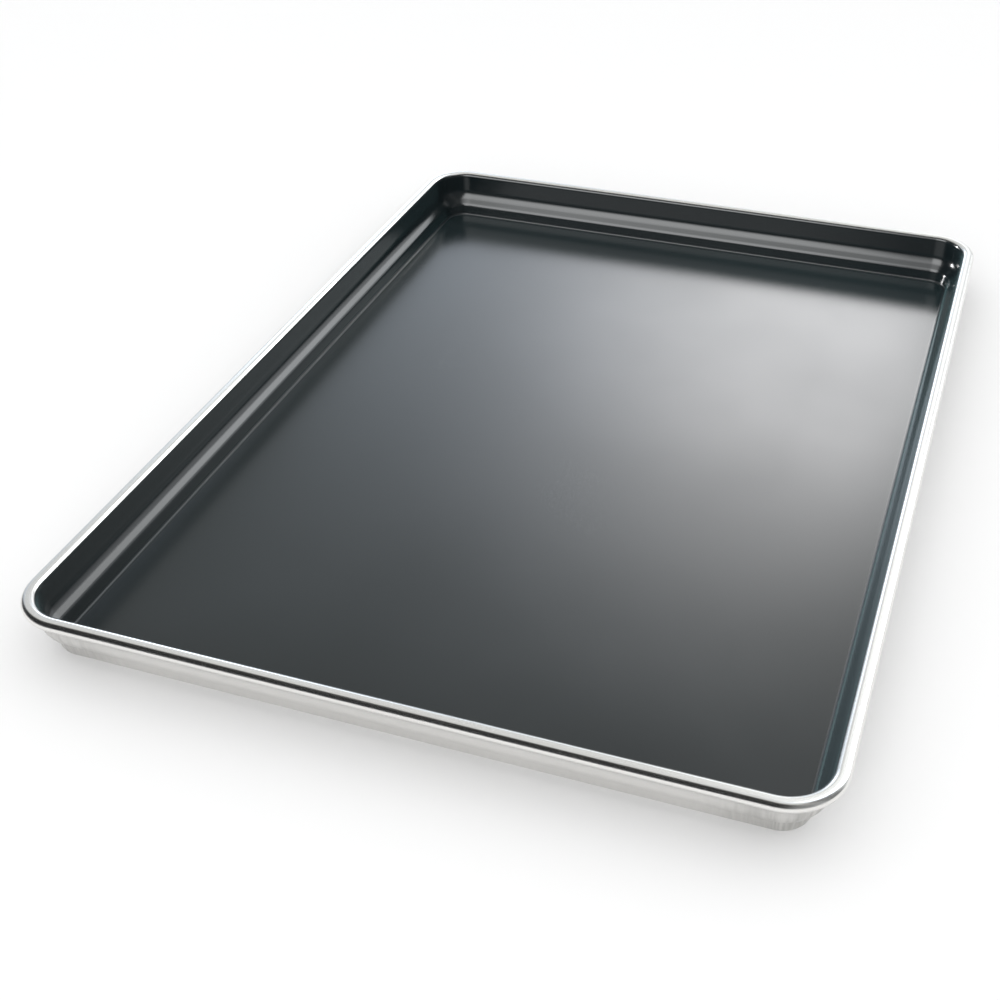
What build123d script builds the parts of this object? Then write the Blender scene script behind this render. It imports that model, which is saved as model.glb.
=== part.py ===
from build123d import *
import math
import os

# A rimmed half-size baking sheet: one pressed aluminium sheet with a stepped
# side wall and a rolled rim, a wire inside the roll, and a dark non-stick
# lining over the whole inside up to the rim.
#
# Millimetres. X runs across the short side, Y along the long side, +Z up.
# The origin is the middle of the underside, on the surface that the pan
# stands on.
#
# A section through the wall is drawn in (u, z): u is measured outwards from
# the lining's edge on the rim, z upwards from the underside. The same section
# runs along the four straight sides and turns about the four corner centres.

# ---- driving dimensions -------------------------------------------------
height = 25.4            # underside to top of rim
sheet_t = 1.0            # aluminium sheet
lining_t = 0.15          # non-stick lining

line_x = 315.4           # lining's edge, side to side, across the short side
line_y = 442.6           # lining's edge, end to end, along the long side
line_r = 17.5            # corner radius of the lining's edge

rim_r = 2.45             # outside radius of the rolled rim
rim_flat = 1.03          # flat on top of the rim, between its two bends
lining_edge_deg = 51.0   # where the lining stops, from the top of the bend
seam_gap = 0.25          # between the rolled sheet's cut edge and the wall

# inside of the wall, as drawn before its bends: inset from the lining's edge,
# and height over the underside
shoulder_top = (-0.82, 12.1)
shoulder_foot = (-5.55, 7.2)
floor_corner = (-6.85, sheet_t + lining_t)
shoulder_top_r = 8.8     # hollow bend into the shoulder
shoulder_foot_r = 3.95   # rounded edge of the shoulder
floor_bend_r = 1.0       # hollow bend into the floor

panel_inset = 12.0       # where the flat floor panel joins the wall section

wire_r = 1.42            # rim wire
wire_gap = 0.8           # between the wire's two ends, middle of the back side

# ---- section geometry ---------------------------------------------------
rim_z = height - rim_r                       # height of both rim bend centres
lining_r = rim_r + lining_t                  # lining's surface round the inner bend
edge_a = math.radians(lining_edge_deg)
inner_u = lining_r * math.sin(edge_a)        # inner bend centre
outer_u = inner_u + rim_flat                 # outer bend centre, and the wire's
cavity_r = rim_r - sheet_t                   # inside radius of the rolled rim


def tangent_direction(point, centre, radius):
    """Unit vector from the bend's centre to where the wall's line from point
    touches the bend, on the pan's inside."""
    dx, dz = centre[0] - point[0], centre[1] - point[1]
    reach = math.hypot(dx, dz)
    turn = math.acos(radius / reach)
    back = math.atan2(-dz, -dx)
    return math.cos(back - turn), math.sin(back - turn)


wall_n = tangent_direction(shoulder_top, (inner_u, rim_z), lining_r)


def bend_point(radius, degrees=None):
    """A point on the inner rim bend: at degrees from the top towards the
    inside, or where the wall's line begins."""
    if degrees is None:
        return inner_u + radius * wall_n[0], rim_z + radius * wall_n[1]
    a = math.radians(degrees)
    return inner_u - radius * math.sin(a), rim_z + radius * math.cos(a)


def wall_path(depth):
    """The wall's line, depth below the lining's surface, with the radii of
    its three bends: floor, floor corner, shoulder foot, shoulder top, rim."""
    base = [
        (-panel_inset, floor_corner[1]),
        floor_corner,
        shoulder_foot,
        shoulder_top,
        bend_point(lining_r),
    ]
    lines = []
    for (ax, az), (bx, bz) in zip(base, base[1:]):
        run = math.hypot(bx - ax, bz - az)
        nx, nz = (bz - az) / run, -(bx - ax) / run
        lines.append((ax + nx * depth, az + nz * depth, bx - ax, bz - az))
    points = [(-panel_inset, floor_corner[1] - depth)]
    for (ax, az, ux, uz), (bx, bz, vx, vz) in zip(lines, lines[1:]):
        s = ((bx - ax) * vz - (bz - az) * vx) / (ux * vz - uz * vx)
        points.append((ax + ux * s, az + uz * s))
    points.append(bend_point(lining_r - depth))
    radii = [floor_bend_r + depth, shoulder_foot_r - depth, shoulder_top_r + depth]
    return points, radii


def at(point):
    """Section point to sketch point: the sketch's own X starts at the corner
    centre."""
    return line_r + point[0], point[1]


def wall_line(depth):
    points, radii = wall_path(depth)
    FilletPolyline(*[at(p) for p in points], radius=radii)


def bend(radius, start_deg, end_deg):
    """The inner rim bend, between two angles from its top towards the inside."""
    ThreePointArc(
        at(bend_point(radius, start_deg)),
        at(bend_point(radius, (start_deg + end_deg) / 2)),
        at(bend_point(radius, end_deg)),
    )


wall_deg = math.degrees(math.atan2(-wall_n[0], wall_n[1]))   # bend's end at the wall
curl_u = inner_u - cavity_r + seam_gap                       # rolled sheet's cut edge

corner_x = line_x / 2 - line_r
corner_y = line_y / 2 - line_r

# one plane for each side, through the corner centre where the side begins:
# its own X points out of the pan, its own Y up, and its normal back along
# the side. The straight is extruded along the normal, and the corner is
# turned a quarter from the plane the other way.
sides = []
for quarter, (cx, cy, length) in enumerate(
    [
        (corner_x, corner_y, 2 * corner_y),
        (-corner_x, corner_y, 2 * corner_x),
        (-corner_x, -corner_y, 2 * corner_y),
        (corner_x, -corner_y, 2 * corner_x),
    ]
):
    a = math.radians(90 * quarter)
    out = (round(math.cos(a)), round(math.sin(a)), 0)
    back = (out[1], -out[0], 0)
    sides.append((Plane(origin=(cx, cy, 0), x_dir=out, z_dir=back), length, (cx, cy, 0)))

panel_x = line_x - 2 * panel_inset
panel_y = line_y - 2 * panel_inset
panel_r = line_r - panel_inset

# ---- pan shell: floor, stepped wall and rolled rim, one pressed sheet ----
with BuildPart() as pan_shell:
    with BuildSketch(Plane.XY):
        RectangleRounded(panel_x, panel_y, panel_r)
    extrude(amount=sheet_t)
    for plane, length, centre in sides:
        with BuildSketch(plane) as wall_section:
            with BuildLine():
                # face that carries the lining, up to the rim
                wall_line(lining_t)
                bend(rim_r, wall_deg, 0)
                Line(at((inner_u, height)), at((outer_u, height)))
                # round the outside of the rim
                ThreePointArc(
                    at((outer_u, height)),
                    at((outer_u + rim_r, rim_z)),
                    at((outer_u, rim_z - rim_r)),
                )
                # tucked-in edge under the rim
                Polyline(
                    at((outer_u, rim_z - rim_r)),
                    at((curl_u, rim_z - rim_r)),
                    at((curl_u, rim_z - cavity_r)),
                    at((outer_u, rim_z - cavity_r)),
                )
                # inside of the rolled rim
                ThreePointArc(
                    at((outer_u, rim_z - cavity_r)),
                    at((outer_u + cavity_r, rim_z)),
                    at((outer_u, rim_z + cavity_r)),
                )
                Line(at((outer_u, rim_z + cavity_r)), at((inner_u, rim_z + cavity_r)))
                bend(cavity_r, 0, wall_deg)
                # outside of the wall, back down to the floor
                wall_line(lining_t + sheet_t)
                Line(at((-panel_inset, 0)), at((-panel_inset, sheet_t)))
            make_face()
        extrude(wall_section.sketch, amount=length)
        revolve(
            wall_section.sketch,
            axis=Axis(centre, (0, 0, 1)),
            revolution_arc=90,
        )
pan_shell.part.label = "pan_shell"

# ---- non-stick lining: a thin skin over the inside, up to the rim ---------
with BuildPart() as nonstick_lining:
    with BuildSketch(Plane.XY.offset(sheet_t)):
        RectangleRounded(panel_x, panel_y, panel_r)
    extrude(amount=lining_t)
    for plane, length, centre in sides:
        with BuildSketch(plane) as lining_section:
            with BuildLine():
                wall_line(0)
                bend(lining_r, wall_deg, lining_edge_deg)
                Line(
                    at(bend_point(lining_r, lining_edge_deg)),
                    at(bend_point(rim_r, lining_edge_deg)),
                )
                bend(rim_r, lining_edge_deg, wall_deg)
                wall_line(lining_t)
                Line(at((-panel_inset, sheet_t)), at((-panel_inset, sheet_t + lining_t)))
            make_face()
        extrude(lining_section.sketch, amount=length)
        revolve(
            lining_section.sketch,
            axis=Axis(centre, (0, 0, 1)),
            revolution_arc=90,
        )
nonstick_lining.part.label = "nonstick_lining"

# ---- rim wire: one bent wire inside the rolled rim ------------------------
with BuildPart() as rim_wire:
    for plane, length, centre in sides:
        with BuildSketch(plane) as wire_section:
            with Locations(at((outer_u, rim_z))):
                Circle(wire_r)
        extrude(wire_section.sketch, amount=length)
        revolve(
            wire_section.sketch,
            axis=Axis(centre, (0, 0, 1)),
            revolution_arc=90,
        )
    # the wire's two ends, butted in the middle of the back side
    with Locations((0, corner_y + line_r + outer_u, rim_z)):
        Box(wire_gap, 4 * wire_r, 4 * wire_r, mode=Mode.SUBTRACT)
rim_wire.part.label = "rim_wire"

os.makedirs("parts", exist_ok=True)
for piece in (pan_shell, nonstick_lining, rim_wire):
    size = piece.part.bounding_box().size
    print(
        f"{piece.part.label}: {len(piece.part.solids())} solid, "
        f"{piece.part.volume:.0f} mm3, {size.X:.2f} x {size.Y:.2f} x {size.Z:.2f}"
    )
export_step(pan_shell.part, "parts/pan_shell.step")
export_step(nonstick_lining.part, "parts/nonstick_lining.step")
export_step(rim_wire.part, "parts/rim_wire.step")
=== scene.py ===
import bpy
import math
import numpy as np
from mathutils import Matrix, Vector


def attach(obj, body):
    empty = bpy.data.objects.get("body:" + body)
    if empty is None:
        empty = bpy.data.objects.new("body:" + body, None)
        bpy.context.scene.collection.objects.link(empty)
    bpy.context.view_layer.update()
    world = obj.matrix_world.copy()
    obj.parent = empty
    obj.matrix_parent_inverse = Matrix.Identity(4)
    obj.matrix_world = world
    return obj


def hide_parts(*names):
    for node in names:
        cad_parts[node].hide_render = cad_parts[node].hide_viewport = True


# A rimmed baking sheet on a pale floor, in soft studio light. Metres.
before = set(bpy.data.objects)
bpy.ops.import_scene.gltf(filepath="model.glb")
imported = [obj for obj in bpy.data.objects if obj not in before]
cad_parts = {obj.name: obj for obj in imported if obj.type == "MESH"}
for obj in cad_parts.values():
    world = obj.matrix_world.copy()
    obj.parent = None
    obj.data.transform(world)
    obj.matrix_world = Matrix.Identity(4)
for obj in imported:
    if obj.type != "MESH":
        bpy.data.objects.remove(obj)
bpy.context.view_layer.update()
scene = bpy.context.scene
scene.view_settings.view_transform = "Standard"
scene.view_settings.look = "None"
MM = 0.001

# ---------------------------------------------------------------------------
# the pan's section: u outwards from the lining's edge on the rim, z upwards
# from the underside, millimetres; the same numbers as the construction model
# ---------------------------------------------------------------------------
HEIGHT = 25.4
SHEET = 1.0
LINING = 0.15
LINE_X, LINE_Y, LINE_R = 315.4, 442.6, 17.5
RIM_R, RIM_FLAT = 2.45, 1.03
LINING_EDGE = 51.0
SEAM = 0.25
SHOULDER_TOP = (-0.82, 12.1)
SHOULDER_FOOT = (-5.55, 7.2)
FLOOR_CORNER = (-6.85, SHEET + LINING)
WALL_BENDS = (1.0, 3.95, 8.8)
PANEL = 12.0
WIRE_R = 1.42
WIRE_GAP = 0.8

RIM_Z = HEIGHT - RIM_R
LINING_R = RIM_R + LINING
INNER_U = LINING_R * math.sin(math.radians(LINING_EDGE))
OUTER_U = INNER_U + RIM_FLAT
CAVITY_R = RIM_R - SHEET
CURL_U = INNER_U - CAVITY_R + SEAM


def tangent_direction(point, centre, radius):
    dx, dz = centre[0] - point[0], centre[1] - point[1]
    reach = math.hypot(dx, dz)
    turn = math.acos(radius / reach)
    back = math.atan2(-dz, -dx)
    return math.cos(back - turn), math.sin(back - turn)


WALL_N = tangent_direction(SHOULDER_TOP, (INNER_U, RIM_Z), LINING_R)
WALL_DEG = math.degrees(math.atan2(-WALL_N[0], WALL_N[1]))


def bend(radius, start, end, n):
    """Points on the rim's inner bend, angles from its top towards the inside."""
    return [
        (INNER_U - radius * math.sin(a), RIM_Z + radius * math.cos(a))
        for a in np.radians(np.linspace(start, end, n + 1))
    ]


def bead(radius, start, end, n):
    """Points on the rim's outer bend, angles from its top towards the outside."""
    return [
        (OUTER_U + radius * math.sin(a), RIM_Z + radius * math.cos(a))
        for a in np.radians(np.linspace(start, end, n + 1))
    ]


def straight(a, b, step):
    n = max(1, round(math.hypot(b[0] - a[0], b[1] - a[1]) / step))
    return [(a[0] + (b[0] - a[0]) * k / n, a[1] + (b[1] - a[1]) * k / n) for k in range(n + 1)]


def lining_line():
    """The lining's surface from the floor panel to the rim's bend, as (u, z, how far its normal tips up in degrees)."""
    top = (INNER_U + LINING_R * WALL_N[0], RIM_Z + LINING_R * WALL_N[1])
    base = [(-PANEL, FLOOR_CORNER[1]), FLOOR_CORNER, SHOULDER_FOOT, SHOULDER_TOP, top]
    tips = [math.degrees(math.atan2(b[0] - a[0], b[1] - a[1])) for a, b in zip(base, base[1:])]
    line = [(base[0][0], base[0][1], tips[0])]
    for k, (radius, steps) in enumerate(zip(WALL_BENDS, (16, 18, 24))):
        t0, t1 = tips[k], tips[k + 1]
        sign = 1 if t1 < t0 else -1
        cut = radius * math.tan(math.radians(abs(t1 - t0) / 2))
        a0 = math.radians(t0)
        begin = (base[k + 1][0] - cut * math.sin(a0), base[k + 1][1] - cut * math.cos(a0))
        line += [(x, y, t0) for x, y in straight(line[-1][:2], begin, 0.9)[1:-1]]
        for tip in np.linspace(t0, t1, steps + 1):
            a = math.radians(tip)
            line.append((begin[0] + radius * sign * (math.cos(a) - math.cos(a0)), begin[1] + radius * sign * (math.sin(a0) - math.sin(a)), tip))
    line += [(x, y, tips[-1]) for x, y in straight(line[-1][:2], top, 1.2)[1:]]
    return line


LINE = lining_line()


def wall(depth):
    """The wall's line at that depth under the lining's surface."""
    return [(u + depth * math.cos(math.radians(tip)), z - depth * math.sin(math.radians(tip))) for u, z, tip in LINE]


def joined(*runs):
    out = list(runs[0])
    for run in runs[1:]:
        out += run[1:] if math.dist(out[-1], run[0]) < 1e-6 else run
    return out


# ---------------------------------------------------------------------------
# the pan's outline: corner centres, and stations along straights and corners
# ---------------------------------------------------------------------------
CX, CY = LINE_X / 2 - LINE_R, LINE_Y / 2 - LINE_R
CORNER_STEPS = 32
HALF_X, ALL_Y = 13, 39  # steps along half a short side and along a whole long one


def stations():
    """(corner centre x, y, outward direction x, y, length along the lining's edge, how near to a corner 0..1) all the way round, starting mid-back."""
    out = []
    s = 0.0
    turn = LINE_R * math.pi / 2
    sides = [  # from the middle of the back side, counter-clockwise seen from above
        ((0.0, CY), (-CX, CY), (0, 1), HALF_X), ((-CX, CY), (-CX, -CY), (-1, 0), ALL_Y),
        ((-CX, -CY), (CX, -CY), (0, -1), 2 * HALF_X), ((CX, -CY), (CX, CY), (1, 0), ALL_Y), ((CX, CY), (0.0, CY), (0, 1), HALF_X),
    ]
    for k, (a, b, d, n) in enumerate(sides):
        run = math.dist(a, b)
        for j in range(n):
            f = j / n
            away = [run * f if k else 1e3, run * (1 - f) if k < 4 else 1e3]
            out.append((a[0] + (b[0] - a[0]) * f, a[1] + (b[1] - a[1]) * f, d[0], d[1], s + run * f, 0.7 * math.exp(-((min(away) / 16) ** 2))))
        s += run
        if k < 4:
            a0 = math.atan2(d[1], d[0])
            for j in range(CORNER_STEPS):
                f = j / CORNER_STEPS
                ang = a0 + f * math.pi / 2
                out.append((b[0], b[1], math.cos(ang), math.sin(ang), s + turn * f, 0.7 + 0.3 * math.sin(f * math.pi)))
            s += turn
    return np.array(out), s


STN, ROUND = stations()


def warp(co):
    """The small unevenness of a pressed sheet, millimetres: sides that bow a little, a floor and rim that are not quite flat. It stays inside the pan's own box."""
    x, y, z = co[:, 0], co[:, 1], co[:, 2]
    fx, fy = x / 163.2, y / 226.8
    up = np.clip(z / HEIGHT, 0, 1)
    inside = (1 - fx**2).clip(0, 1) * (1 - fy**2).clip(0, 1)
    lift = 0.16 * inside * (0.6 + 0.4 * np.sin(0.021 * x + 0.8) * np.sin(0.0165 * y + 0.4) + 0.3 * np.sin(0.037 * y - 0.5 + 0.012 * x))
    rim = -0.10 * up**2 * (1 + np.sin(0.019 * y + 0.9) * np.cos(0.022 * x)) / 2
    out = co.copy()
    out[:, 0] = x * (1 - 0.0016 * fy**2 * (0.7 + 0.3 * np.sign(x)))
    out[:, 1] = y * (1 - 0.0013 * fx**2)
    out[:, 2] = z + lift + rim
    return out


class Skin:
    """Collects a swept section, with a map along and across it, and masks for the corners and the rim."""

    def __init__(self):
        self.co, self.corner, self.rim, self.faces, self.uv = [], [], [], [], []

    def ring(self, u, z, rim=0.0):
        r = LINE_R + u
        first = len(self.co)
        for cx, cy, dx, dy, s, c in STN:
            self.co.append((cx + dx * r, cy + dy * r, z))
            self.corner.append(c)
            self.rim.append(rim)
        return first

    def strip(self, a, b, va, vb):
        """Quads from ring a to ring b, which lie at va and vb across the section."""
        n = len(STN)
        s = np.append(STN[:, 4], ROUND)
        for k in range(n):
            j = (k + 1) % n
            self.faces.append((a + k, a + j, b + j, b + k))
            self.uv.append(((s[k], va), (s[k + 1], va), (s[k + 1], vb), (s[k], vb)))

    def sweep(self, section, rim, closed=False, flip=False):
        rings = [self.ring(u, z, w) for (u, z), w in zip(section, rim)]
        v = np.concatenate([[0], np.cumsum([math.dist(a, b) for a, b in zip(section, section[1:])])])
        pairs = list(zip(range(len(rings)), range(1, len(rings))))
        for i, j in pairs:
            self.strip(rings[i], rings[j], v[i], v[j])
        if closed:
            self.strip(rings[-1], rings[0], v[-1], v[-1] + math.dist(section[-1], section[0]))
        return rings

    def panel(self, edge, z, up):
        """Fills the flat panel inside a ring with one grid of quads, whose corners lie in the middle of the ring's corners. up says which way it faces."""
        n = len(STN)
        c = CORNER_STEPS // 2
        bl = HALF_X + c
        fl = bl + ALL_Y + 2 * c
        fr = fl + 2 * HALF_X + 2 * c
        br = fr + ALL_Y + 2 * c
        down, across = ALL_Y + 2 * c, 2 * HALF_X + 2 * c
        left = [edge + bl + i for i in range(down + 1)]
        right = [edge + br - i for i in range(down + 1)]
        back = [edge + (bl - j) % n for j in range(across + 1)]
        front = [edge + fl + j for j in range(across + 1)]
        at = lambda i: np.array(self.co[i][:2])
        p00, p10, p01, p11 = at(left[0]), at(right[0]), at(left[-1]), at(right[-1])
        grid = []
        for i in range(down + 1):
            t = (self.co[left[i]][1] - p00[1]) / (p01[1] - p00[1])
            row = []
            for j in range(across + 1):
                if i == 0:
                    row.append(back[j])
                elif i == down:
                    row.append(front[j])
                elif j == 0:
                    row.append(left[i])
                elif j == across:
                    row.append(right[i])
                else:
                    s = (self.co[back[j]][0] - p00[0]) / (p10[0] - p00[0])
                    p = (1 - s) * at(left[i]) + s * at(right[i]) + (1 - t) * at(back[j]) + t * at(front[j])
                    p = p - (1 - s) * (1 - t) * p00 - s * (1 - t) * p10 - (1 - s) * t * p01 - s * t * p11
                    row.append(len(self.co))
                    self.co.append((float(p[0]), float(p[1]), z))
                    self.corner.append(0.0)
                    self.rim.append(0.0)
            grid.append(row)
        for i in range(down):
            for j in range(across):
                f = (grid[i][j], grid[i + 1][j], grid[i + 1][j + 1], grid[i][j + 1])
                f = f if up else f[::-1]
                self.faces.append(f)
                self.uv.append(tuple((self.co[v][1] + 1000, self.co[v][0]) for v in f))

    def build(self, name, crease=35):
        co = warp(np.array(self.co)) * MM
        me = bpy.data.meshes.new(name)
        me.from_pydata(co.tolist(), [], self.faces)
        me.update()
        lay = me.uv_layers.new(name="sweep")
        flat = np.array([c for f in self.uv for c in f], np.float32) * MM
        lay.uv.foreach_set("vector", flat.ravel())
        flat_xy = np.array(self.co)
        gap = np.minimum(LINE_X / 2 - np.abs(flat_xy[:, 0]), LINE_Y / 2 - np.abs(flat_xy[:, 1])) + FLOOR_CORNER[0]
        near = (1 - gap / 55).clip(0, 1)  # how near to the wall, for the lining's floor
        for label, data in (("corner", self.corner), ("rim", self.rim), ("near", near)):
            me.attributes.new(label, "FLOAT", "POINT").data.foreach_set("value", np.array(data, np.float32))
        me.validate()
        me.shade_smooth()
        me.set_sharp_from_angle(angle=math.radians(crease))
        ob = bpy.data.objects.new(name, me)
        scene.collection.objects.link(ob)
        return ob


# ---- pan shell: one closed skin ---------------------------------------------
inner = wall(LINING)
over = joined(
    bend(RIM_R, WALL_DEG, 0, 18),
    straight((INNER_U, HEIGHT), (OUTER_U, HEIGHT), 0.55),
    bead(RIM_R, 0, 180, 40),
    straight((OUTER_U, RIM_Z - RIM_R), (CURL_U + 0.12, RIM_Z - RIM_R), 0.6),
    [(CURL_U + 0.12, RIM_Z - RIM_R), (CURL_U + 0.035, RIM_Z - RIM_R + 0.035), (CURL_U, RIM_Z - RIM_R + 0.12)],
    [(CURL_U, RIM_Z - RIM_R + 0.12), (CURL_U, RIM_Z - CAVITY_R)],
    straight((CURL_U, RIM_Z - CAVITY_R), (OUTER_U, RIM_Z - CAVITY_R), 0.8),
    bead(CAVITY_R, 180, 0, 16),
    [(OUTER_U, RIM_Z + CAVITY_R), (INNER_U, RIM_Z + CAVITY_R)],
    bend(CAVITY_R, 0, WALL_DEG, 8),
)
outer = wall(LINING + SHEET)[::-1]
section = joined(inner, over, outer)
n_in, n_over = len(inner), len(over)
rim_mask = [0.0] * (n_in - 1) + [1.0] * n_over + [0.0] * (len(section) - n_in + 1 - n_over)
shell = Skin()
rings = shell.sweep(section, rim_mask)
shell.panel(rings[0], SHEET, True)
shell.panel(rings[-1], 0.0, False)
pan = shell.build("pan_shell_pressed")

# ---- lining: a thin closed skin on the inside --------------------------------
face = joined(wall(0), bend(LINING_R, WALL_DEG, LINING_EDGE + 1.6, 10),
              bend(LINING_R - 0.03, LINING_EDGE + 0.7, LINING_EDGE + 0.7, 1)[:1],
              bend(LINING_R - 0.09, LINING_EDGE, LINING_EDGE, 1)[:1],
              bend(RIM_R, LINING_EDGE - 0.4, LINING_EDGE - 0.4, 1)[:1])
under = joined(bend(RIM_R, LINING_EDGE + 1.0, WALL_DEG, 8), wall(LINING)[::-1])
skin = Skin()
rings = skin.sweep(face + under, [0.0 if u < -8.0 else 2.0 if z < 2.6 else 1.0 for u, z in face + under])
skin.panel(rings[0], SHEET + LINING, True)
skin.panel(rings[-1], SHEET, False)
lining = skin.build("nonstick_lining_sprayed", 50)

# ---- rim wire: one wire in the rolled rim, butted mid-back --------------------
wire = Skin()
loop = [(OUTER_U + WIRE_R * math.cos(a), RIM_Z + WIRE_R * math.sin(a)) for a in np.linspace(0, 2 * math.pi, 25)[:-1]]
wire_rings = [wire.ring(u, z, 0.0) for u, z in loop]
n = len(STN)
half = WIRE_GAP / 2
for first in wire_rings:  # the first station moves to the wire's one end; the last one is added as its other end
    x, y, z = wire.co[first]
    wire.co[first] = (-half, y, z)
tail = []
for first in wire_rings:
    x, y, z = wire.co[first]
    tail.append(len(wire.co))
    wire.co.append((half, y, z))
    wire.corner.append(0.0)
    wire.rim.append(0.0)
s = np.append(STN[:, 4], ROUND)
for i in range(len(loop)):
    j = (i + 1) % len(loop)
    va, vb = i * 0.37, (i + 1) * 0.37
    for k in range(n - 1):
        wire.faces.append((wire_rings[i] + k, wire_rings[i] + k + 1, wire_rings[j] + k + 1, wire_rings[j] + k))
        wire.uv.append(((s[k], va), (s[k + 1], va), (s[k + 1], vb), (s[k], vb)))
    wire.faces.append((wire_rings[i] + n - 1, tail[i], tail[j], wire_rings[j] + n - 1))
    wire.uv.append(((s[n - 1], va), (s[n], va), (s[n], vb), (s[n - 1], vb)))
wire.faces.append(tuple(wire_rings))
wire.uv.append(tuple((0.0, k * 0.37) for k in range(len(loop))))
wire.faces.append(tuple(tail[::-1]))
wire.uv.append(tuple((0.0, k * 0.37) for k in range(len(loop))))
wire_ob = wire.build("rim_wire_bent")

for ob, node, slot in ((pan, "pan_shell", "aluminium_sheet"), (lining, "nonstick_lining", "nonstick_coating"), (wire_ob, "rim_wire", "steel_wire")):
    # faces point outwards
    bpy.context.view_layer.objects.active = ob
    ob.select_set(True)
    bpy.ops.object.mode_set(mode="EDIT")
    bpy.ops.mesh.select_all(action="SELECT")
    bpy.ops.mesh.normals_make_consistent(inside=False)
    bpy.ops.object.mode_set(mode="OBJECT")
    ob.select_set(False)
    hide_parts(node)
    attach(ob, "root")


# ---------------------------------------------------------------------------
# materials
# ---------------------------------------------------------------------------
class Tree:
    """Short names for building a shader from nodes."""

    def __init__(self, tree):
        self.t = tree
        tree.nodes.clear()

    def node(self, kind, **props):
        n = self.t.nodes.new(kind)
        for k, v in props.items():
            setattr(n, k, v)
        return n

    def put(self, socket, value):
        if isinstance(value, bpy.types.NodeSocket):
            self.t.links.new(value, socket)
        else:
            socket.default_value = value
        return socket

    def math(self, op, a, b=None, c=None, clamp=False):
        n = self.node("ShaderNodeMath", operation=op, use_clamp=clamp)
        for k, v in enumerate((a, b, c)):
            if v is not None:
                self.put(n.inputs[k], v)
        return n.outputs[0]

    def range(self, v, lo, hi, a=0.0, b=1.0, smooth=True):
        n = self.node("ShaderNodeMapRange", interpolation_type="SMOOTHSTEP" if smooth else "LINEAR", clamp=True)
        for k, x in zip(("Value", "From Min", "From Max", "To Min", "To Max"), (v, lo, hi, a, b)):
            self.put(n.inputs[k], x)
        return n.outputs["Result"]

    def vec(self, op, a, b):
        n = self.node("ShaderNodeVectorMath", operation=op)
        self.put(n.inputs[0], a)
        self.put(n.inputs[1], b)
        return n.outputs["Value" if op == "DOT_PRODUCT" else "Vector"]

    def noise(self, vector, scale, detail=2.0, rough=0.5, dims="3D"):
        n = self.node("ShaderNodeTexNoise", noise_dimensions=dims)
        self.put(n.inputs["Vector"], vector)
        self.put(n.inputs["Scale"], scale)
        self.put(n.inputs["Detail"], detail)
        self.put(n.inputs["Roughness"], rough)
        return n.outputs["Fac"]

    def hump(self, v, centre, below, above):
        """A bell curve in v, with its own width on each side."""
        e = self.math("SUBTRACT", v, centre)
        side = self.math("LESS_THAN", e, 0.0)
        e = self.math("MULTIPLY", e, self.math("ADD", self.math("MULTIPLY", side, 1 / below - 1 / above), 1 / above))
        return self.math("EXPONENT", self.math("MULTIPLY", self.math("MULTIPLY", e, e), -1.0))

    def mix(self, f, a, b):
        n = self.node("ShaderNodeMix", data_type="RGBA")
        self.put(n.inputs["Factor"], f)
        self.put(n.inputs["A"], a)
        self.put(n.inputs["B"], b)
        return n.outputs["Result"]

    def bump(self, height, strength, distance, normal=None):
        n = self.node("ShaderNodeBump")
        self.put(n.inputs["Height"], height)
        self.put(n.inputs["Strength"], strength)
        self.put(n.inputs["Distance"], distance)
        if normal is not None:
            self.put(n.inputs["Normal"], normal)
        return n.outputs["Normal"]


def material(name):
    m = bpy.data.materials.new(name)
    m.use_nodes = True
    t = Tree(m.node_tree)
    shader = t.node("ShaderNodeBsdfPrincipled")
    out = t.node("ShaderNodeOutputMaterial")
    t.t.links.new(shader.outputs[0], out.inputs["Surface"])
    return m, t, shader.inputs


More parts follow.
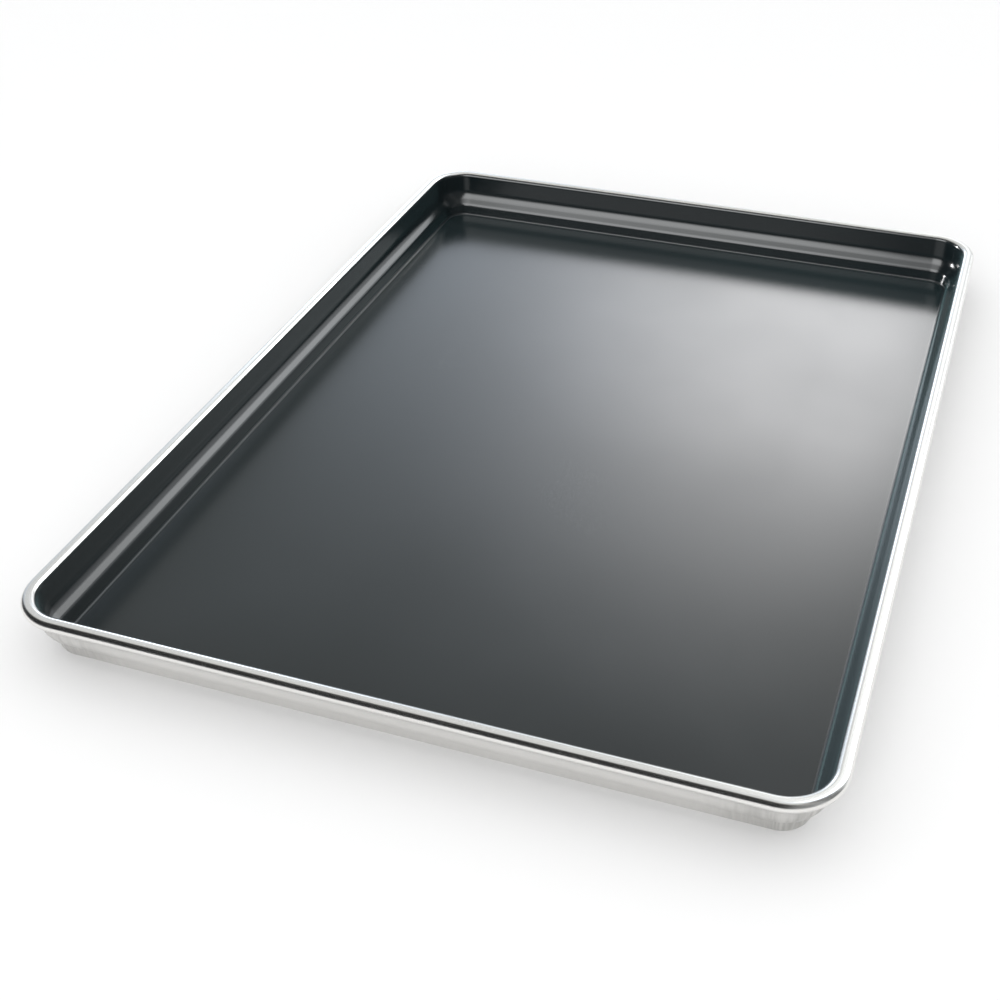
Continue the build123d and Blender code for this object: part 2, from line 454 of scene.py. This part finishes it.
def aluminium():
    m, t, s = material("drawn_aluminium")
    uv = t.node("ShaderNodeUVMap", uv_map="sweep").outputs["UV"]
    obj = t.node("ShaderNodeTexCoord").outputs["Object"]
    corner = t.node("ShaderNodeAttribute", attribute_name="corner").outputs["Fac"]
    rim = t.node("ShaderNodeAttribute", attribute_name="rim").outputs["Fac"]
    # lines drawn along the sheet, and upright stretch marks round the corners; the corners' darker tone is partly these
    # marks and partly painted shade
    along = t.noise(t.vec("MULTIPLY", uv, (22.0, 2600.0, 1.0)), 1.0, 3.0, 0.6)
    fine = t.noise(t.vec("MULTIPLY", uv, (60.0, 9000.0, 1.0)), 1.0, 2.0, 0.5)
    upright = t.noise(t.vec("MULTIPLY", uv, (420.0, 40.0, 1.0)), 1.0, 3.0, 0.55)
    cloud = t.noise(obj, 14.0, 3.0, 0.5)
    scuff = t.range(t.noise(obj, 95.0, 5.0, 0.7), 0.62, 0.78)
    wall_corner = t.math("MULTIPLY", corner, t.math("SUBTRACT", 1.0, rim))
    tone = t.math("ADD", t.math("MULTIPLY", cloud, 0.10), t.math("MULTIPLY", along, 0.05))
    tone = t.math("ADD", tone, t.math("MULTIPLY", t.math("MULTIPLY", upright, wall_corner), 0.16))
    tone = t.range(tone, 0.0, 0.30, 0.0, 1.0, smooth=False)
    base = t.mix(tone, (0.88, 0.87, 0.85, 1), (0.72, 0.71, 0.69, 1))
    # painted shade in part: the outer wall's corners turn a darker grey, streaked by the stretch marks
    base = t.mix(t.math("MULTIPLY", wall_corner, t.range(upright, 0.3, 0.7, 0.3, 0.95)), base, (0.44, 0.435, 0.42, 1))
    # painted shade: the sheet's colour is darker close under the rolled rim, and on the rim's lower side, where the rim
    # shades it
    high = t.node("ShaderNodeSeparateXYZ")
    t.put(high.inputs[0], obj)
    painted_shade_under_rim = t.math("MULTIPLY", t.range(high.outputs[2], 0.0125, 0.0195), t.math("SUBTRACT", 1.0, rim))
    painted_shade_under_rim = t.math("ADD", painted_shade_under_rim, t.math("MULTIPLY", t.range(high.outputs[2], 0.0214, 0.0232, 0.75, 0.0), rim))
    base = t.mix(t.math("MULTIPLY", painted_shade_under_rim, 0.85), base, (0.50, 0.495, 0.485, 1))
    t.put(s["Base Color"], base)
    s["Metallic"].default_value = 1.0
    rough = t.math("ADD", t.range(along, 0.3, 0.7, 0.18, 0.26, smooth=False), t.math("MULTIPLY", cloud, 0.06))
    rough = t.math("ADD", rough, t.math("MULTIPLY", t.math("SUBTRACT", 1.0, rim), 0.07))
    rough = t.math("ADD", rough, t.math("MULTIPLY", scuff, 0.05))
    t.put(s["Roughness"], rough)
    lines = t.bump(along, 0.10, 0.00004)
    lines = t.bump(fine, 0.08, 0.00002, lines)
    marks = t.bump(t.math("MULTIPLY", upright, wall_corner), 0.5, 0.00025, lines)
    t.put(s["Normal"], marks)
    return m


def coating():
    m, t, s = material("nonstick_coating_dark")
    uv = t.node("ShaderNodeUVMap", uv_map="sweep").outputs["UV"]
    obj = t.node("ShaderNodeTexCoord").outputs["Object"]
    wall = t.node("ShaderNodeAttribute", attribute_name="rim").outputs["Fac"]
    cloud = t.noise(obj, 9.0, 3.0, 0.5)
    peel = t.noise(obj, 900.0, 2.0, 0.5)
    grain = t.noise(obj, 3800.0, 1.0, 0.5)
    drawn = t.noise(t.vec("MULTIPLY", uv, (5.0, 900.0, 1.0)), 1.0, 3.0, 0.55)
    speck = t.range(t.noise(obj, 2600.0, 1.0, 0.5), 0.70, 0.80)
    base = t.mix(cloud, (0.0026, 0.0046, 0.0054, 1), (0.0038, 0.0058, 0.0066, 1))
    base = t.mix(t.math("MULTIPLY", speck, 0.3), base, (0.032, 0.034, 0.034, 1))
    t.put(s["Base Color"], base)
    rough = t.math("ADD", t.range(cloud, 0.3, 0.7, 0.225, 0.255), t.math("MULTIPLY", grain, 0.03))
    near = t.node("ShaderNodeAttribute", attribute_name="near").outputs["Fac"]
    rough = t.math("SUBTRACT", rough, t.math("MULTIPLY", near, 0.065))
    t.put(s["Roughness"], t.math("ADD", rough, t.range(wall, 1.0, 2.0, 0.0, 0.16, smooth=False)))
    s["IOR"].default_value = 1.5
    # a faint blue bloom at a grazing angle
    s["Sheen Weight"].default_value = 0.19
    s["Sheen Roughness"].default_value = 0.35
    s["Sheen Tint"].default_value = (0.42, 0.70, 0.74, 1)
    n = t.bump(peel, 0.25, 0.00001)
    n = t.bump(grain, 0.2, 0.000004, n)
    t.put(s["Normal"], t.bump(t.math("MULTIPLY", drawn, wall), 0.6, 0.00001, n))
    return m


def steel():
    m, t, s = material("galvanised_wire")
    uv = t.node("ShaderNodeUVMap", uv_map="sweep").outputs["UV"]
    lines = t.noise(t.vec("MULTIPLY", uv, (40.0, 4000.0, 1.0)), 1.0, 2.0, 0.5)
    t.put(s["Base Color"], t.mix(lines, (0.52, 0.53, 0.54, 1), (0.64, 0.64, 0.65, 1)))
    s["Metallic"].default_value = 1.0
    t.put(s["Roughness"], t.range(lines, 0.2, 0.8, 0.32, 0.46))
    t.put(s["Normal"], t.bump(lines, 0.2, 0.00003))
    return m


pan.data.materials.append(aluminium())
lining.data.materials.append(coating())
wire_ob.data.materials.append(steel())

# ---------------------------------------------------------------------------
# floor, camera, light
# ---------------------------------------------------------------------------
me = bpy.data.meshes.new("floor")
me.from_pydata([(-9, -9, 0), (9, -9, 0), (9, 9, 0), (-9, 9, 0)], [], [(0, 1, 2, 3)])
floor = bpy.data.objects.new("floor", me)
scene.collection.objects.link(floor)
fm, ft, fs = material("pale_floor")
fs["Base Color"].default_value = (0.92, 0.92, 0.92, 1)
fs["Roughness"].default_value = 0.7
fs["Specular IOR Level"].default_value = 0.2
me.materials.append(fm)

cam_data = bpy.data.cameras.new("camera")
cam = bpy.data.objects.new("camera", cam_data)
scene.collection.objects.link(cam)
scene.camera = cam
cam_data.sensor_width = 36.0
cam_data.lens = 52.63
cam_data.shift_x = -0.036
cam_data.clip_start, cam_data.clip_end = 0.01, 60.0
turn = Matrix(((0.94410193, -0.18714014, 0.27138556), (0.32956717, 0.55467369, -0.7640174), (-0.00755211, 0.81075007, 0.58534374)))
cam.matrix_world = Matrix.Translation((0.178707, -0.564312, 0.388852)) @ turn.to_4x4()

world = bpy.data.worlds.new("studio")
scene.world = world
world.use_nodes = True
world.cycles.sampling_method = "NONE"
w = Tree(world.node_tree)
way = w.node("ShaderNodeTexCoord").outputs["Generated"]
xyz = w.node("ShaderNodeSeparateXYZ")
w.put(xyz.inputs[0], way)
x, y, z = xyz.outputs


# soft white overhead and behind; a dark room in front
edge = w.range(w.vec("DOT_PRODUCT", way, (0.40, 0.90, 0.17)), -0.10, 0.10)
sky = w.math("ADD", w.math("MULTIPLY", edge, w.range(z, 0.45, 1.0, 0.66, 0.74)), 0.030)
side = w.math("DIVIDE", x, w.math("MAXIMUM", y, 0.08))
back = w.range(y, 0.02, 0.16)
# soft boxes: a high one to the right of the middle, a two-step one to the right, faint ones to the left and low behind
high = w.math("MULTIPLY", w.math("MULTIPLY", w.range(side, 0.035, 0.185), w.hump(z, 0.707, 0.10, 0.20)), 3.0)
high = w.math("MULTIPLY", high, w.range(side, 0.7, 1.4, 1.0, 0.0))
step = w.range(side, 0.5, 1.05, 0.0, 0.14, smooth=False)
upper = w.range(w.math("SUBTRACT", z, step), 0.29, 0.37, 0.0, 5.0)
upper = w.math("MULTIPLY", upper, w.range(w.math("SUBTRACT", z, step), 0.40, 0.48, 1.0, 0.0))
right = w.math("ADD", w.range(z, 0.07, 0.17, 0.0, 1.2), upper)
right = w.math("MULTIPLY", w.math("MULTIPLY", w.range(side, 0.36, 0.60), right), w.range(z, 0.55, 0.86, 1.0, 0.0))
right = w.math("MULTIPLY", right, w.range(side, 1.1, 1.45, 1.0, 0.0))
left = w.math("MULTIPLY", w.math("MULTIPLY", w.hump(side, -0.589, 0.14, 0.12), w.hump(z, 0.30, 0.25, 0.13)), 3.4)
low = w.math("MULTIPLY", w.math("MULTIPLY", w.hump(side, -0.10, 0.30, 0.20), w.hump(z, 0.28, 0.25, 0.12)), 0.8)
near = w.math("MULTIPLY", w.math("MULTIPLY", w.hump(side, -0.02, 0.08, 0.08), w.hump(z, 0.56, 0.15, 0.15)), 1.0)
boxes = w.math("ADD", w.math("ADD", high, right), w.math("ADD", left, w.math("ADD", low, near)))
dim = w.math("MULTIPLY", w.range(x, 0.25, 0.50), w.range(y, 0.22, 0.50, 1.0, 0.0))
glow = w.math("ADD", sky, w.math("MULTIPLY", boxes, back))
glow = w.math("MULTIPLY", glow, w.math("SUBTRACT", 1.0, w.math("MULTIPLY", dim, 0.75)))
# some grey in the dark room on the far right, so that the rim is not black from behind
glow = w.math("ADD", glow, w.math("MULTIPLY", w.math("MULTIPLY", w.range(x, 0.20, 0.52), w.range(y, -0.30, 0.0, 1.0, 0.0)), 0.25))
studio = w.node("ShaderNodeBackground")
cool = w.math("MULTIPLY", w.range(z, 0.40, 0.64, 1.0, 0.0), w.range(side, -0.45, -0.10, 1.0, 0.3))
cool = w.math("MAXIMUM", cool, w.math("MULTIPLY", back, w.math("MULTIPLY", w.range(side, 0.0, 0.2), w.range(z, 0.60, 0.70, 0.0, 0.7))))
w.put(studio.inputs["Color"], w.mix(cool, (0.99, 1.0, 0.985, 1), (0.90, 0.99, 1.10, 1)))
w.put(studio.inputs["Strength"], glow)
soft = w.node("ShaderNodeBackground")
w.put(soft.inputs["Color"], (1.0, 1.0, 1.0, 1))
w.put(soft.inputs["Strength"], 1.0)
plain = w.node("ShaderNodeBackground")
w.put(plain.inputs["Color"], (0.91, 0.91, 0.91, 1))
w.put(plain.inputs["Strength"], 1.0)
ray = w.node("ShaderNodeLightPath").outputs
mix = w.node("ShaderNodeMixShader")
w.put(mix.inputs[0], ray["Is Glossy Ray"])
w.t.links.new(soft.outputs[0], mix.inputs[1])
w.t.links.new(studio.outputs[0], mix.inputs[2])
last = w.node("ShaderNodeMixShader")
w.put(last.inputs[0], ray["Is Camera Ray"])
w.t.links.new(mix.outputs[0], last.inputs[1])
w.t.links.new(plain.outputs[0], last.inputs[2])
out = w.node("ShaderNodeOutputWorld")
w.t.links.new(last.outputs[0], out.inputs["Surface"])


def soft_box(name, at, towards, size, size_y, peak, only, colour, pattern=None, shape="RECTANGLE"):
    """An area light for the given objects. peak is its radiance; pattern(tree, u, v) fades it over its face, u and v 0..1."""
    lamp = bpy.data.lights.new(name, "AREA")
    lamp.shape = shape
    lamp.size, lamp.size_y = size, size_y
    lamp.energy = peak * math.pi * size * size_y * (math.pi / 4 if shape == "DISK" else 1)
    lamp.color = colour
    if pattern:
        lamp.use_nodes = True
        t = Tree(lamp.node_tree)
        uv = t.node("ShaderNodeSeparateXYZ")
        t.put(uv.inputs[0], t.node("ShaderNodeNewGeometry").outputs["Parametric"])
        strength, tint = pattern(t, uv.outputs[0], uv.outputs[1])
        shine = t.node("ShaderNodeEmission")
        t.put(shine.inputs["Strength"], strength)
        t.put(shine.inputs["Color"], tint)
        t.t.links.new(shine.outputs[0], t.node("ShaderNodeOutputLight").inputs[0])
    ob = bpy.data.objects.new(name, lamp)
    ob.location = at
    ob.rotation_euler = (Vector(towards) - Vector(at)).to_track_quat("-Z", "Y").to_euler()
    ob.visible_camera = False
    scene.collection.objects.link(ob)
    lit = bpy.data.collections.new(name + "_lights")
    for o in only:
        lit.objects.link(o)
    ob.light_linking.receiver_collection = lit
    return ob


FAR = 15.0  # how far behind the pan the big screen hangs
SCREEN = (-0.35, 0.42, 1.1, 0.84)  # its middle and its size, as shares of that distance


def screen(t, u, v):
    """The big screen's glow: brightest right of the middle, with a soft fall to the left and a short one upwards."""
    px = t.math("SUBTRACT", SCREEN[0], t.math("MULTIPLY", t.math("SUBTRACT", u, 0.5), SCREEN[2]))
    pz = t.math("ADD", SCREEN[1], t.math("MULTIPLY", t.math("SUBTRACT", v, 0.5), SCREEN[3]))
    reach = t.math("SQRT", t.math("ADD", t.math("ADD", t.math("MULTIPLY", px, px), t.math("MULTIPLY", pz, pz)), 1.0))
    up = t.math("DIVIDE", pz, reach)
    glow = t.math("MULTIPLY", t.hump(px, -0.109, 0.225, 0.088), t.hump(up, 0.539, 0.183, 0.045))
    cool = t.range(px, -0.50, -0.18, 1.0, 0.0)
    return glow, t.mix(cool, (1.012, 1.0, 1.01, 1), (0.90, 0.99, 1.15, 1))


def front(t, u, v):
    """The front box: a soft lower edge and a long fade upwards."""
    h = t.math("MULTIPLY", t.math("SUBTRACT", v, 0.5), 1.6)
    side = t.math("MULTIPLY", t.range(u, 0.0, 0.12), t.range(u, 0.67, 0.87, 1.0, 0.0))
    glow = t.math("MULTIPLY", t.math("MULTIPLY", t.range(h, -0.60, -0.28), t.range(h, 0.10, 0.80, 1.0, 0.0)), side)
    return glow, (1.0, 1.0, 1.0, 1.0)


# three lights for the lining alone: the screen behind that its floor mirrors, the box in front that draws the
# band along the back wall, and a small lamp low on the left that makes the dots in the far corner
soft_box("back_screen", (SCREEN[0] * FAR, FAR, SCREEN[1] * FAR), (SCREEN[0] * FAR, 0, SCREEN[1] * FAR), SCREEN[2] * FAR, SCREEN[3] * FAR, 10.3, [lining], (1.0, 1.0, 1.0), screen)
soft_box("front_box", (-0.183, -0.570, 0.646), (0.0, 0.2213, 0.012), 0.95, 1.6, 6.7, [lining], (0.985, 1.0, 1.005), front)
# a low fill from the front that opens the shade under the rim on the floor
soft_box("floor_fill", (0.4, -4.0, 1.9), (0.0, -0.2, 0.0), 3.0, 2.0, 3.4, [floor], (1.0, 1.0, 1.0))
soft_box("side_lamp", (-1.83, 0.279, 0.19), (0.15, 0.21, 0.012), 0.30, 0.30, 200.0, [lining], (1.0, 1.0, 1.0), None, "DISK")
